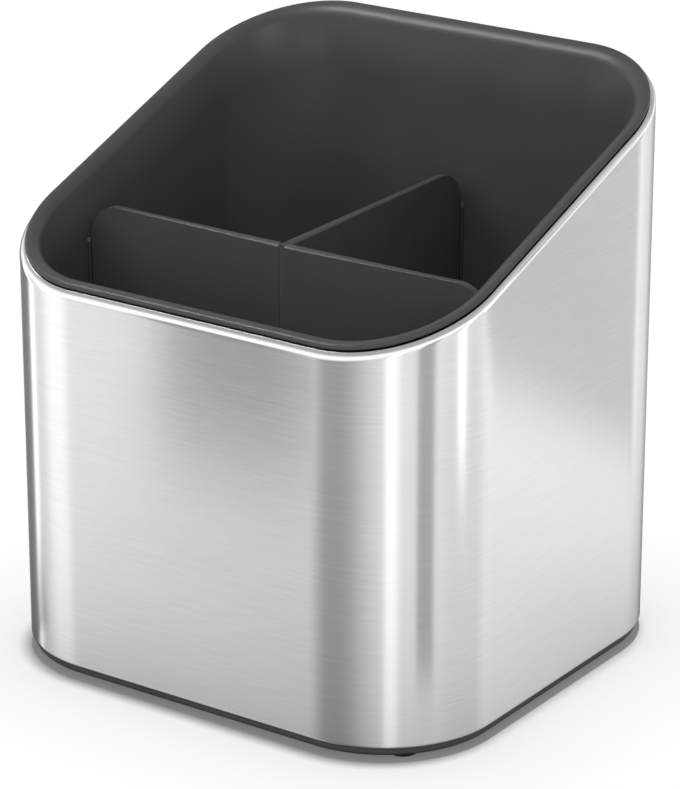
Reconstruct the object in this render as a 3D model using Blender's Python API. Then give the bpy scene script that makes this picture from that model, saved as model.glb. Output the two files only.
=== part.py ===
# Kitchen utensil holder: a steel sleeve with a slanted top stands on a moulded base
# with four rubber feet. A moulded liner lifts out of the sleeve, and two crossed
# panels lift out of the liner. Metres, +Z up. The origin is the middle of the
# footprint, on the surface that the feet stand on. The front is at -Y.
import math

import bmesh
import bpy
from mathutils import Matrix, Vector

# Overall size
BODY_WIDTH = 0.1400
BODY_DEPTH = 0.1302
CORNER_RADIUS = 0.0325
FRONT_RIM_HEIGHT = 0.1069
BACK_RIM_HEIGHT = 0.1546

# Gaps between neighbours
SEAT_GAP = 0.0003
OVERRUN = 0.0008

# Rubber feet
FOOT_RADIUS = 0.0040
FOOT_DROP = 0.0012
FOOT_SEAT_DEPTH = 0.0012
FOOT_EDGE_MARGIN = 0.0004
FOOT_BEVEL = 0.0004

# Base tray
BAND_HEIGHT = 0.0022
BAND_INSET = 0.0010
BAND_EDGE_RADIUS = 0.0013
PLATE_THICKNESS = 0.0026
UPSTAND_THICKNESS = 0.0016
UPSTAND_HEIGHT = 0.0080
HOOK_REACH = 0.0020
HOOK_WIDTH = 0.0100
HOOK_NOSE = 0.0008
HOOK_LENGTH = 0.0040
HOOK_PLACE_SHARE = 0.55

# Steel sleeve
STEEL_THICKNESS = 0.0008
RIM_ROLL_RADIUS = 0.0017
RIM_ROLL_END_DEGREES = 45.0
HEM_WIDTH = 0.0046
HEM_BEND_RADIUS = 0.0012
HEM_CLEARANCE = 0.0004

# Liner
LINER_WALL = 0.0022
LINER_FLOOR = 0.0024
LINER_SIDE_CLEARANCE = 0.0006
LINER_FOOT_RADIUS = 0.0060
LIP_INSET = 0.0015
LIP_HEIGHT = 0.00135
LIP_EDGE_RADIUS = 0.0007
LIP_CROWN_RADIUS = 0.0039
LIP_FLARE_RADIUS = 0.0028
LIP_TURN_DEGREES = 45.0
LIP_SEAT_WIDTH = 0.0018
WALL_SWEEP_RADIUS = 0.0445
WALL_SWEEP_DEGREES = 17.0

# Guide ribs on the liner's walls
RIB_TOP_HEIGHT = 0.1065
RIB_WIDTH = 0.0008
RIB_REACH = 0.0008

# Divider panels
PANEL_THICKNESS = 0.0022
PANEL_TOP_HEIGHT = 0.1161
PANEL_END_GAP = 0.0004
PANEL_CORNER_RADIUS = 0.0090
PANEL_FOOT_RADIUS = 0.0050
PANEL_EDGE_RADIUS = 0.0009
CROSS_PANEL_Y = -0.0236
REAR_PANEL_X = 0.0
TONGUE_THICKNESS = 0.0016
TONGUE_SIDE_GAP = 0.0003
TONGUE_TOP_DROP = 0.0004
SLOT_FLOOR_RISE = 0.0200

# Fineness of the curves
CORNER_STEPS = 10
BEND_STEPS = 4
SWEEP_STEPS = 5
ROLL_STEPS = 8
PANEL_CORNER_STEPS = 8
ROUND_SIDES = 32
PANEL_EDGE_SEGMENTS = 3
FOOT_EDGE_SEGMENTS = 2
SMOOTH_ANGLE = math.radians(32.0)
BEVEL_ANGLE = math.radians(50.0)

# Heights and insets worked out from the sizes above
SLEEVE_FOOT = FOOT_DROP + BAND_HEIGHT
PLATE_TOP = FOOT_DROP + PLATE_THICKNESS
BAND_TOP = SLEEVE_FOOT - SEAT_GAP
UPSTAND_OUTER = HEM_WIDTH + HEM_CLEARANCE
UPSTAND_INNER = UPSTAND_OUTER + UPSTAND_THICKNESS
LINER_FOOT = PLATE_TOP + SEAT_GAP
FLOOR_TOP = LINER_FOOT + LINER_FLOOR
WALL_FOOT_OUTER = UPSTAND_INNER + LINER_SIDE_CLEARANCE
WALL_FOOT_INNER = WALL_FOOT_OUTER + LINER_WALL
FLOOR_RADIUS = LINER_FOOT_RADIUS - LINER_WALL
LIP_TURN = math.radians(LIP_TURN_DEGREES)
CROWN_INSET = LIP_INSET + LIP_EDGE_RADIUS
CROWN_DROP = LIP_HEIGHT - LIP_CROWN_RADIUS
FLARE_INSET = CROWN_INSET - (LIP_FLARE_RADIUS - LIP_CROWN_RADIUS) * math.cos(LIP_TURN)
FLARE_DROP = CROWN_DROP - (LIP_FLARE_RADIUS - LIP_CROWN_RADIUS) * math.sin(LIP_TURN)
WALL_SWEEP = math.radians(WALL_SWEEP_DEGREES)
SWEEP_INSET = FLARE_INSET - (WALL_SWEEP_RADIUS - LIP_FLARE_RADIUS) * math.cos(WALL_SWEEP)
SWEEP_DROP = FLARE_DROP - (WALL_SWEEP_RADIUS - LIP_FLARE_RADIUS) * math.sin(WALL_SWEEP)
WALL_TOP_INNER = SWEEP_INSET + WALL_SWEEP_RADIUS
PANEL_FOOT = FLOOR_TOP + SEAT_GAP
SLOT_FLOOR = FLOOR_TOP + SLOT_FLOOR_RISE


def rim_height(y):
    """Height of the slanted top plane at depth y."""
    share = (y + BODY_DEPTH / 2) / BODY_DEPTH
    return FRONT_RIM_HEIGHT + (BACK_RIM_HEIGHT - FRONT_RIM_HEIGHT) * share


def plan_outline(inset):
    """The body's plan, a rounded rectangle, moved in by inset."""
    half_x = BODY_WIDTH / 2 - CORNER_RADIUS
    half_y = BODY_DEPTH / 2 - CORNER_RADIUS
    radius = CORNER_RADIUS - inset
    corners = ((1, -1), (1, 1), (-1, 1), (-1, -1))
    points = []
    for quarter, (sign_x, sign_y) in enumerate(corners):
        centre = Vector((sign_x * half_x, sign_y * half_y))
        for step in range(CORNER_STEPS + 1):
            angle = (quarter - 1 + step / CORNER_STEPS) * math.pi / 2
            points.append(centre + radius * Vector((math.cos(angle), math.sin(angle))))
    return points


def flat_ring(inset, height):
    return [Vector((p.x, p.y, height)) for p in plan_outline(inset)]


def rim_ring(inset, above):
    """A ring that follows the slanted top, a given height above its plane."""
    return [Vector((p.x, p.y, rim_height(p.y) + above)) for p in plan_outline(inset)]


def arc_points(centre, radius, start_degrees, end_degrees, steps):
    points = []
    for step in range(steps + 1):
        angle = math.radians(start_degrees + (end_degrees - start_degrees) * step / steps)
        points.append((centre[0] + radius * math.cos(angle), centre[1] + radius * math.sin(angle)))
    return points


def make_material(name, colour, roughness, metallic=0.0):
    material = bpy.data.materials.new(name)
    material.use_nodes = True
    shader = material.node_tree.nodes["Principled BSDF"]
    shader.inputs["Base Color"].default_value = (*colour, 1.0)
    shader.inputs["Roughness"].default_value = roughness
    shader.inputs["Metallic"].default_value = metallic
    return material


def finish_mesh(name, bm, material=None):
    """Close the bmesh into an object, with faces out and round parts smooth."""
    bmesh.ops.recalc_face_normals(bm, faces=bm.faces)
    mesh = bpy.data.meshes.new(name)
    bm.to_mesh(mesh)
    bm.free()
    mesh.shade_smooth()
    mesh.set_sharp_from_angle(angle=SMOOTH_ANGLE)
    piece = bpy.data.objects.new(name, mesh)
    bpy.context.scene.collection.objects.link(piece)
    if material:
        mesh.materials.append(material)
    return piece


def loft(name, rings, material, closed_section=False):
    """Skin each ring to the next. An open section is capped at both ends."""
    bm = bmesh.new()
    loops = [[bm.verts.new(point) for point in ring] for ring in rings]
    following = loops[1:] + loops[:1] if closed_section else loops[1:]
    for lower, upper in zip(loops, following):
        for i in range(len(lower)):
            bm.faces.new((lower[i - 1], lower[i], upper[i], upper[i - 1]))
    if not closed_section:
        bm.faces.new(loops[0])
        bm.faces.new(loops[-1])
    return finish_mesh(name, bm, material)


def add_prism(bm, outline, across):
    """Extrude a flat outline of points along the vector across."""
    face = bm.faces.new([bm.verts.new(point) for point in outline])
    swept = bmesh.ops.extrude_face_region(bm, geom=[face])
    verts = [item for item in swept["geom"] if isinstance(item, bmesh.types.BMVert)]
    bmesh.ops.translate(bm, verts=verts, vec=across)


def wall_prism(bm, outward, half_size, section, place, width):
    """A prism on one straight wall. The section holds (inset, height) points."""
    along = Vector((abs(outward.y), abs(outward.x), 0))
    start = along * (place - width / 2)
    outline = [outward * (half_size - inset) + start + Vector((0, 0, z)) for inset, z in section]
    add_prism(bm, outline, along * width)


def add_boolean(piece, tool, operation):
    """Cut or join with a tool body, which is kept as a wire guide."""
    tool.hide_render = True
    tool.display_type = "WIRE"
    modifier = piece.modifiers.new(operation.lower() + "_" + tool.name, "BOOLEAN")
    modifier.operation = operation
    modifier.solver = "EXACT"
    modifier.object = tool


def add_bevel(piece, width, segments):
    modifier = piece.modifiers.new("edge_rounding", "BEVEL")
    modifier.width = width
    modifier.segments = segments
    modifier.limit_method = "ANGLE"
    modifier.angle_limit = BEVEL_ANGLE


def set_origin(piece, point):
    """Move the piece's origin to a point and leave its shape where it is."""
    piece.data.transform(Matrix.Translation(-point))
    piece.location = point


def hang_from(piece, parent):
    """Parent a piece without moving it."""
    bpy.context.view_layer.update()
    piece.parent = parent
    piece.matrix_parent_inverse = parent.matrix_world.inverted()


def foot_places():
    """The feet stand on the diagonals of the plan's corners."""
    outline_radius = CORNER_RADIUS - BAND_INSET - BAND_EDGE_RADIUS
    reach = (outline_radius - FOOT_EDGE_MARGIN - FOOT_RADIUS) * math.cos(math.pi / 4)
    x = BODY_WIDTH / 2 - CORNER_RADIUS + reach
    y = BODY_DEPTH / 2 - CORNER_RADIUS + reach
    return {
        "foot_front_left": Vector((-x, -y, 0)),
        "foot_front_right": Vector((x, -y, 0)),
        "foot_back_left": Vector((-x, y, 0)),
        "foot_back_right": Vector((x, y, 0)),
    }


def add_disc(bm, centre, radius, bottom, top):
    middle = Matrix.Translation(centre + Vector((0, 0, (bottom + top) / 2)))
    bmesh.ops.create_cone(
        bm, cap_ends=True, segments=ROUND_SIDES, radius1=radius, radius2=radius,
        depth=top - bottom, matrix=middle)


def wall_inset(y, height):
    """Inset of the liner's inner face, which tapers from the sweep to the floor."""
    top = rim_height(y) + SWEEP_DROP
    bottom = FLOOR_TOP + FLOOR_RADIUS
    share = (top - height) / (top - bottom)
    return WALL_TOP_INNER + (WALL_FOOT_INNER - WALL_TOP_INNER) * share


SIDES = {
    "front": (Vector((0, -1, 0)), BODY_DEPTH / 2, BODY_WIDTH / 2 - CORNER_RADIUS),
    "back": (Vector((0, 1, 0)), BODY_DEPTH / 2, BODY_WIDTH / 2 - CORNER_RADIUS),
    "left": (Vector((-1, 0, 0)), BODY_WIDTH / 2, BODY_DEPTH / 2 - CORNER_RADIUS),
    "right": (Vector((1, 0, 0)), BODY_WIDTH / 2, BODY_DEPTH / 2 - CORNER_RADIUS),
}


# Steel sleeve: a tube with a slanted, rolled rim and a turned-in hem
def build_sleeve(material):
    roll_inner = RIM_ROLL_RADIUS - STEEL_THICKNESS
    bend_inner = HEM_BEND_RADIUS - STEEL_THICKNESS
    roll_centre = (RIM_ROLL_RADIUS, -RIM_ROLL_RADIUS)
    bend_centre = (HEM_BEND_RADIUS, SLEEVE_FOOT + HEM_BEND_RADIUS)
    hem_top = SLEEVE_FOOT + STEEL_THICKNESS
    rings = []
    for inset, above in arc_points(roll_centre, RIM_ROLL_RADIUS, 180, RIM_ROLL_END_DEGREES, ROLL_STEPS):
        rings.append(rim_ring(inset, above))
    for inset, above in arc_points(roll_centre, roll_inner, RIM_ROLL_END_DEGREES, 180, ROLL_STEPS):
        rings.append(rim_ring(inset, above))
    for inset, height in arc_points(bend_centre, bend_inner, 180, 270, BEND_STEPS):
        rings.append(flat_ring(inset, height))
    rings.append(flat_ring(HEM_WIDTH, hem_top))
    rings.append(flat_ring(HEM_WIDTH, SLEEVE_FOOT))
    for inset, height in arc_points(bend_centre, HEM_BEND_RADIUS, 270, 180, BEND_STEPS):
        rings.append(flat_ring(inset, height))
    return loft("outer_sleeve", rings, material, closed_section=True)


# Base tray: the dark band, the plate, an upstand inside the hem and its snap hooks
def build_base(material):
    edge_centre = (BAND_INSET + BAND_EDGE_RADIUS, FOOT_DROP + BAND_EDGE_RADIUS)
    rings = []
    for inset, height in arc_points(edge_centre, BAND_EDGE_RADIUS, 270, 180, BEND_STEPS):
        rings.append(flat_ring(inset, height))
    rings.append(flat_ring(BAND_INSET, BAND_TOP))
    rings.append(flat_ring(UPSTAND_OUTER, BAND_TOP))
    rings.append(flat_ring(UPSTAND_OUTER, PLATE_TOP + UPSTAND_HEIGHT))
    rings.append(flat_ring(UPSTAND_INNER, PLATE_TOP + UPSTAND_HEIGHT))
    rings.append(flat_ring(UPSTAND_INNER, PLATE_TOP))
    tray = loft("base_tray", rings, material)

    hook_foot = SLEEVE_FOOT + STEEL_THICKNESS + SEAT_GAP
    root = UPSTAND_OUTER + OVERRUN
    tip = UPSTAND_OUTER - HOOK_REACH
    section = (
        (root, hook_foot),
        (tip, hook_foot),
        (tip, hook_foot + HOOK_NOSE),
        (root, hook_foot + HOOK_LENGTH),
    )
    hooks = bmesh.new()
    for outward, half_size, half_run in SIDES.values():
        for sign in (-1, 1):
            place = sign * half_run * HOOK_PLACE_SHARE
            wall_prism(hooks, outward, half_size, section, place, HOOK_WIDTH)
    add_boolean(tray, finish_mesh("snap_hooks", hooks), "UNION")

    seats = bmesh.new()
    for centre in foot_places().values():
        add_disc(seats, centre, FOOT_RADIUS + SEAT_GAP, FOOT_DROP - OVERRUN, FOOT_DROP + FOOT_SEAT_DEPTH)
    add_boolean(tray, finish_mesh("foot_seats", seats), "DIFFERENCE")


def build_feet(material):
    foot_top = FOOT_DROP + FOOT_SEAT_DEPTH - SEAT_GAP
    for name, centre in foot_places().items():
        bm = bmesh.new()
        add_disc(bm, centre, FOOT_RADIUS, 0, foot_top)
        foot = finish_mesh(name, bm, material)
        add_bevel(foot, FOOT_BEVEL, FOOT_EDGE_SEGMENTS)
        set_origin(foot, centre)


# Liner: a pot whose lip rests on the sleeve's rim. Its wall sweeps in under the lip, then tapers
def build_liner(material):
    foot_centre = (WALL_FOOT_OUTER + LINER_FOOT_RADIUS, LINER_FOOT + LINER_FOOT_RADIUS)
    floor_centre = (WALL_FOOT_INNER + FLOOR_RADIUS, FLOOR_TOP + FLOOR_RADIUS)
    flare_centre = (FLARE_INSET, FLARE_DROP)
    crown_centre = (CROWN_INSET, CROWN_DROP)
    edge_centre = (CROWN_INSET, LIP_HEIGHT - LIP_EDGE_RADIUS)
    sweep_centre = (SWEEP_INSET, SWEEP_DROP)
    sweep_outer = WALL_SWEEP_RADIUS - LINER_WALL
    turn = LIP_TURN_DEGREES
    sweep = WALL_SWEEP_DEGREES

    rings = []
    for inset, height in arc_points(foot_centre, LINER_FOOT_RADIUS, 270, 180, BEND_STEPS):
        rings.append(flat_ring(inset, height))
    for inset, above in arc_points(sweep_centre, sweep_outer, 0, sweep, SWEEP_STEPS):
        rings.append(rim_ring(inset, above))
    rings.append(rim_ring(LIP_INSET + LIP_SEAT_WIDTH, SEAT_GAP))
    rings.append(rim_ring(LIP_INSET, SEAT_GAP))
    for inset, above in arc_points(edge_centre, LIP_EDGE_RADIUS, 180, 90, BEND_STEPS):
        rings.append(rim_ring(inset, above))
    for inset, above in arc_points(crown_centre, LIP_CROWN_RADIUS, 90, turn, BEND_STEPS)[1:]:
        rings.append(rim_ring(inset, above))
    for inset, above in arc_points(flare_centre, LIP_FLARE_RADIUS, turn, sweep, BEND_STEPS)[1:]:
        rings.append(rim_ring(inset, above))
    for inset, above in arc_points(sweep_centre, WALL_SWEEP_RADIUS, sweep, 0, SWEEP_STEPS)[1:]:
        rings.append(rim_ring(inset, above))
    for inset, height in arc_points(floor_centre, FLOOR_RADIUS, 180, 270, BEND_STEPS):
        rings.append(flat_ring(inset, height))
    liner = loft("inner_liner", rings, material)

    spread = (PANEL_THICKNESS + RIB_WIDTH) / 2 + SEAT_GAP
    ribs = bmesh.new()
    for side, centre in (("left", CROSS_PANEL_Y), ("right", CROSS_PANEL_Y), ("back", REAR_PANEL_X)):
        outward, half_size, _ = SIDES[side]
        depth = half_size - WALL_TOP_INNER if side == "back" else centre
        rib_foot = FLOOR_TOP - OVERRUN
        low = wall_inset(depth, rib_foot)
        high = wall_inset(depth, RIB_TOP_HEIGHT)
        section = (
            (low - OVERRUN, rib_foot),
            (low + RIB_REACH, rib_foot),
            (high + RIB_REACH, RIB_TOP_HEIGHT),
            (high - OVERRUN, RIB_TOP_HEIGHT),
        )
        for sign in (-1, 1):
            wall_prism(ribs, outward, half_size, section, centre + sign * spread, RIB_WIDTH)
    add_boolean(liner, finish_mesh("guide_ribs", ribs), "UNION")
    set_origin(liner, Vector((0, 0, LINER_FOOT)))
    return liner


def panel_end(depth, half_size, height):
    """Distance from the middle of the plan to a panel's end at a height."""
    return half_size - wall_inset(depth, height) - PANEL_END_GAP


def end_outline(depth, half_size):
    """One end of a panel, foot to top, as (distance from the middle, height)."""
    foot_height = PANEL_FOOT + PANEL_FOOT_RADIUS
    top_height = PANEL_TOP_HEIGHT - PANEL_CORNER_RADIUS
    foot_centre = (panel_end(depth, half_size, foot_height) - PANEL_FOOT_RADIUS, foot_height)
    top_centre = (panel_end(depth, half_size, top_height) - PANEL_CORNER_RADIUS, top_height)
    points = arc_points(foot_centre, PANEL_FOOT_RADIUS, 270, 360, PANEL_CORNER_STEPS)
    points += arc_points(top_centre, PANEL_CORNER_RADIUS, 0, 90, PANEL_CORNER_STEPS)
    return points


# Cross panel: stands left to right, with a slot that is open at the top
def build_cross_panel(material, liner):
    right = end_outline(CROSS_PANEL_Y, BODY_WIDTH / 2)
    outline = right + [(-x, z) for x, z in reversed(right)]
    front = CROSS_PANEL_Y - PANEL_THICKNESS / 2
    bm = bmesh.new()
    add_prism(bm, [Vector((x, front, z)) for x, z in outline], Vector((0, PANEL_THICKNESS, 0)))
    panel = finish_mesh("cross_divider", bm, material)
    add_bevel(panel, PANEL_EDGE_RADIUS, PANEL_EDGE_SEGMENTS)

    half_slot = TONGUE_THICKNESS / 2 + TONGUE_SIDE_GAP
    start = front - OVERRUN
    slot_top = PANEL_TOP_HEIGHT + OVERRUN
    cut = bmesh.new()
    corners = (
        (REAR_PANEL_X - half_slot, SLOT_FLOOR),
        (REAR_PANEL_X + half_slot, SLOT_FLOOR),
        (REAR_PANEL_X + half_slot, slot_top),
        (REAR_PANEL_X - half_slot, slot_top),
    )
    across = Vector((0, PANEL_THICKNESS + 2 * OVERRUN, 0))
    add_prism(cut, [Vector((x, start, z)) for x, z in corners], across)
    add_boolean(panel, finish_mesh("divider_slot", cut), "DIFFERENCE")
    set_origin(panel, Vector((REAR_PANEL_X, CROSS_PANEL_Y, PANEL_FOOT)))
    hang_from(panel, liner)
    return panel


# Rear panel: runs back from the cross panel, with a tongue that sits in its slot
def build_rear_panel(material, cross_panel):
    back = end_outline(BODY_DEPTH / 2 - WALL_TOP_INNER, BODY_DEPTH / 2)
    shoulder = CROSS_PANEL_Y + PANEL_THICKNESS / 2 + SEAT_GAP
    outline = back + [(shoulder, PANEL_TOP_HEIGHT), (shoulder, PANEL_FOOT)]
    left = REAR_PANEL_X - PANEL_THICKNESS / 2
    bm = bmesh.new()
    add_prism(bm, [Vector((left, y, z)) for y, z in outline], Vector((PANEL_THICKNESS, 0, 0)))
    panel = finish_mesh("rear_divider", bm, material)
    add_bevel(panel, PANEL_EDGE_RADIUS, PANEL_EDGE_SEGMENTS)

    tongue_front = CROSS_PANEL_Y - PANEL_THICKNESS / 2
    tongue_back = shoulder + PANEL_THICKNESS
    tongue_top = PANEL_TOP_HEIGHT - TONGUE_TOP_DROP
    tongue_foot = SLOT_FLOOR + SEAT_GAP
    corners = (
        (tongue_front, tongue_foot),
        (tongue_back, tongue_foot),
        (tongue_back, tongue_top),
        (tongue_front, tongue_top),
    )
    tongue = bmesh.new()
    start = REAR_PANEL_X - TONGUE_THICKNESS / 2
    add_prism(tongue, [Vector((start, y, z)) for y, z in corners], Vector((TONGUE_THICKNESS, 0, 0)))
    add_boolean(panel, finish_mesh("divider_tongue", tongue), "UNION")
    set_origin(panel, Vector((REAR_PANEL_X, shoulder, PANEL_FOOT)))
    hang_from(panel, cross_panel)


def main():
    for old in list(bpy.data.objects):
        bpy.data.objects.remove(old, do_unlink=True)
    steel = make_material("brushed_steel", (0.62, 0.62, 0.63), 0.30, 1.0)
    base_plastic = make_material("base_plastic", (0.040, 0.040, 0.042), 0.50)
    liner_plastic = make_material("liner_plastic", (0.046, 0.046, 0.048), 0.45)
    cross_plastic = make_material("cross_divider_plastic", (0.046, 0.046, 0.048), 0.45)
    rear_plastic = make_material("rear_divider_plastic", (0.046, 0.046, 0.048), 0.45)
    rubber = make_material("foot_rubber", (0.020, 0.020, 0.021), 0.80)
    build_sleeve(steel)
    build_base(base_plastic)
    build_feet(rubber)
    liner = build_liner(liner_plastic)
    cross_panel = build_cross_panel(cross_plastic, liner)
    build_rear_panel(rear_plastic, cross_panel)


main()
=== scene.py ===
import math

import bmesh
import bpy
from mathutils import Matrix, Vector


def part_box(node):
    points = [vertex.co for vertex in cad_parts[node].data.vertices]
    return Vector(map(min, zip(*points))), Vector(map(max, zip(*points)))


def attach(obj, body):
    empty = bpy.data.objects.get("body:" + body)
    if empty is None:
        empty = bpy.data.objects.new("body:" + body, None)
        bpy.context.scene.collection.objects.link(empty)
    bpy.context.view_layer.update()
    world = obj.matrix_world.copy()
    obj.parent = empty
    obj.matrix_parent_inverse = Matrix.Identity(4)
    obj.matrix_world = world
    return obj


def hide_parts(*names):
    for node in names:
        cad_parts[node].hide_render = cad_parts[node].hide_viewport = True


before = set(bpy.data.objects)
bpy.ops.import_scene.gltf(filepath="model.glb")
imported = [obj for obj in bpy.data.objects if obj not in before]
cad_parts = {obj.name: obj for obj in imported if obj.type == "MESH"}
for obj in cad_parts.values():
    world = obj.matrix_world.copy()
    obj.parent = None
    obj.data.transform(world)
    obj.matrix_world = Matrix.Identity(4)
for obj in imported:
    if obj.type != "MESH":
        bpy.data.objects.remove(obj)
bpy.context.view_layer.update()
sleeveLow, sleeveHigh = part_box("outer_sleeve")
linerLow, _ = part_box("inner_liner")
crossLow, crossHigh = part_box("cross_divider")
rearLow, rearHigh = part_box("rear_divider")
baseLow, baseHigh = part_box("base_tray")
print("frame loaded")

# the plan and the slanted top that every shell follows
bodyPlan = {
    "width": sleeveHigh.x - sleeveLow.x,
    "depth": sleeveHigh.y - sleeveLow.y,
    "cornerRadius": 0.0325,
    "frontRim": 0.1069,
    "backRim": 0.1546,
    "pointSpacing": 0.00125,     # along the outline
    "cornerCount": 90,           # points in a corner, before the spacing is evened out
}
halfWidth = bodyPlan["width"] / 2
halfDepth = bodyPlan["depth"] / 2
rimSlope = (bodyPlan["backRim"] - bodyPlan["frontRim"]) / bodyPlan["depth"]
seatGap = 0.0003                 # what touching pieces keep between them
weldGap = 0.000001               # points closer than this are made one
smoothAngle = math.radians(35)


def rimAt(y):
    return bodyPlan["frontRim"] + rimSlope * (y + halfDepth)


# a section is a list of (inset, height, rimShare); a share of 1 rides on the slanted rim
def arcPoints(centre, radius, startDegrees, endDegrees, steps, rimShare=0.0):
    points = []
    for step in range(steps + 1):
        angle = math.radians(startDegrees + (endDegrees - startDegrees) * step / steps)
        inset = centre[0] + radius * math.cos(angle)
        points.append((inset, centre[1] + radius * math.sin(angle), rimShare))
    return points


def newObject(name, data):
    piece = bpy.data.objects.new(name, data)
    bpy.context.scene.collection.objects.link(piece)
    return piece


def newPiece(name, bm):
    mesh = bpy.data.meshes.new(name)
    bm.to_mesh(mesh)
    bm.free()
    return newObject(name, mesh)


def bakeModifiers(piece):
    graph = bpy.context.evaluated_depsgraph_get()
    mesh = bpy.data.meshes.new_from_object(piece.evaluated_get(graph))
    piece.modifiers.clear()
    piece.data = mesh
    mesh.name = piece.name


def smoothFaces(piece):
    piece.data.shade_smooth()
    piece.data.set_sharp_from_angle(angle=smoothAngle)
    return piece


# Geometry Nodes: sweeps a section round the body's outline and lifts it to the rim
def sweepTree():
    tree = bpy.data.node_groups.new("sectionSweep", "GeometryNodeTree")
    face = tree.interface
    face.new_socket(name="Geometry", in_out="INPUT", socket_type="NodeSocketGeometry")
    for name in ("Width", "Depth", "Corner Radius", "Front Rim", "Back Rim", "Point Spacing"):
        face.new_socket(name=name, in_out="INPUT", socket_type="NodeSocketFloat")
    face.new_socket(name="Corner Count", in_out="INPUT", socket_type="NodeSocketInt")
    face.new_socket(name="Material", in_out="INPUT", socket_type="NodeSocketMaterial")
    face.new_socket(name="Geometry", in_out="OUTPUT", socket_type="NodeSocketGeometry")
    nodes, link = tree.nodes, tree.links.new
    given = nodes.new("NodeGroupInput")

    outline = nodes.new("GeometryNodeCurvePrimitiveQuadrilateral")
    link(given.outputs["Width"], outline.inputs["Width"])
    link(given.outputs["Depth"], outline.inputs["Height"])
    rounded = nodes.new("GeometryNodeFilletCurve")
    rounded.mode = "POLY"
    link(outline.outputs["Curve"], rounded.inputs["Curve"])
    link(given.outputs["Corner Radius"], rounded.inputs["Radius"])
    link(given.outputs["Corner Count"], rounded.inputs["Count"])
    even = nodes.new("GeometryNodeResampleCurve")
    even.mode = "LENGTH"
    link(rounded.outputs["Curve"], even.inputs["Curve"])
    link(given.outputs["Point Spacing"], even.inputs["Length"])
    upright = nodes.new("GeometryNodeSetCurveNormal")
    upright.mode = "Z_UP"
    link(even.outputs["Curve"], upright.inputs["Curve"])

    section = nodes.new("GeometryNodeMeshToCurve")
    link(given.outputs["Geometry"], section.inputs["Mesh"])
    sweep = nodes.new("GeometryNodeCurveToMesh")
    link(upright.outputs["Curve"], sweep.inputs["Curve"])
    link(section.outputs["Curve"], sweep.inputs["Profile Curve"])

    # height of the rim at each point's depth, times the section's rim share
    place = nodes.new("GeometryNodeInputPosition")
    axes = nodes.new("ShaderNodeSeparateXYZ")
    link(place.outputs["Position"], axes.inputs["Vector"])
    depthShare = nodes.new("ShaderNodeMath")
    depthShare.operation = "DIVIDE"
    link(axes.outputs["Y"], depthShare.inputs[0])
    link(given.outputs["Depth"], depthShare.inputs[1])
    rim = nodes.new("ShaderNodeMapRange")
    rim.clamp = False
    rim.inputs["From Min"].default_value = -0.5     # the front, as a share of the depth
    rim.inputs["From Max"].default_value = 0.5      # the back
    link(depthShare.outputs["Value"], rim.inputs["Value"])
    link(given.outputs["Front Rim"], rim.inputs["To Min"])
    link(given.outputs["Back Rim"], rim.inputs["To Max"])
    rimShare = nodes.new("GeometryNodeInputNamedAttribute")
    rimShare.data_type = "FLOAT"
    rimShare.inputs["Name"].default_value = "rimShare"
    lift = nodes.new("ShaderNodeMath")
    lift.operation = "MULTIPLY"
    link(rim.outputs["Result"], lift.inputs[0])
    link(rimShare.outputs["Attribute"], lift.inputs[1])
    offset = nodes.new("ShaderNodeCombineXYZ")
    link(lift.outputs["Value"], offset.inputs["Z"])
    raised = nodes.new("GeometryNodeSetPosition")
    link(sweep.outputs["Mesh"], raised.inputs["Geometry"])
    link(offset.outputs["Vector"], raised.inputs["Offset"])

    real = nodes.new("GeometryNodeRealizeInstances")
    link(raised.outputs["Geometry"], real.inputs["Geometry"])
    finish = nodes.new("GeometryNodeSetMaterial")
    link(real.outputs["Geometry"], finish.inputs["Geometry"])
    link(given.outputs["Material"], finish.inputs["Material"])
    out = nodes.new("NodeGroupOutput")
    link(finish.outputs["Geometry"], out.inputs["Geometry"])
    return tree


# Geometry Nodes: copies one small shape to marked points, turned by each point's angle
def repeatTree():
    tree = bpy.data.node_groups.new("repeatOnPoints", "GeometryNodeTree")
    face = tree.interface
    face.new_socket(name="Geometry", in_out="INPUT", socket_type="NodeSocketGeometry")
    face.new_socket(name="Shape", in_out="INPUT", socket_type="NodeSocketObject")
    face.new_socket(name="Material", in_out="INPUT", socket_type="NodeSocketMaterial")
    face.new_socket(name="Geometry", in_out="OUTPUT", socket_type="NodeSocketGeometry")
    nodes, link = tree.nodes, tree.links.new
    given = nodes.new("NodeGroupInput")
    shape = nodes.new("GeometryNodeObjectInfo")
    link(given.outputs["Shape"], shape.inputs["Object"])
    turn = nodes.new("GeometryNodeInputNamedAttribute")
    turn.data_type = "FLOAT"
    turn.inputs["Name"].default_value = "turn"
    angles = nodes.new("ShaderNodeCombineXYZ")
    link(turn.outputs["Attribute"], angles.inputs["Z"])
    points = nodes.new("GeometryNodeMeshToPoints")
    link(given.outputs["Geometry"], points.inputs["Mesh"])
    copies = nodes.new("GeometryNodeInstanceOnPoints")
    link(points.outputs["Points"], copies.inputs["Points"])
    link(shape.outputs["Geometry"], copies.inputs["Instance"])
    link(angles.outputs["Vector"], copies.inputs["Rotation"])
    real = nodes.new("GeometryNodeRealizeInstances")
    link(copies.outputs["Instances"], real.inputs["Geometry"])
    finish = nodes.new("GeometryNodeSetMaterial")
    link(real.outputs["Geometry"], finish.inputs["Geometry"])
    link(given.outputs["Material"], finish.inputs["Material"])
    out = nodes.new("NodeGroupOutput")
    link(finish.outputs["Geometry"], out.inputs["Geometry"])
    return tree


def addTree(piece, tree, values):
    modifier = piece.modifiers.new(tree.name, "NODES")
    modifier.node_group = tree
    for socket in tree.interface.items_tree:
        if socket.in_out == "INPUT" and socket.name in values:
            modifier[socket.identifier] = values[socket.name]


sectionSweep = sweepTree()
repeatOnPoints = repeatTree()
print("geometry node trees built")


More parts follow.
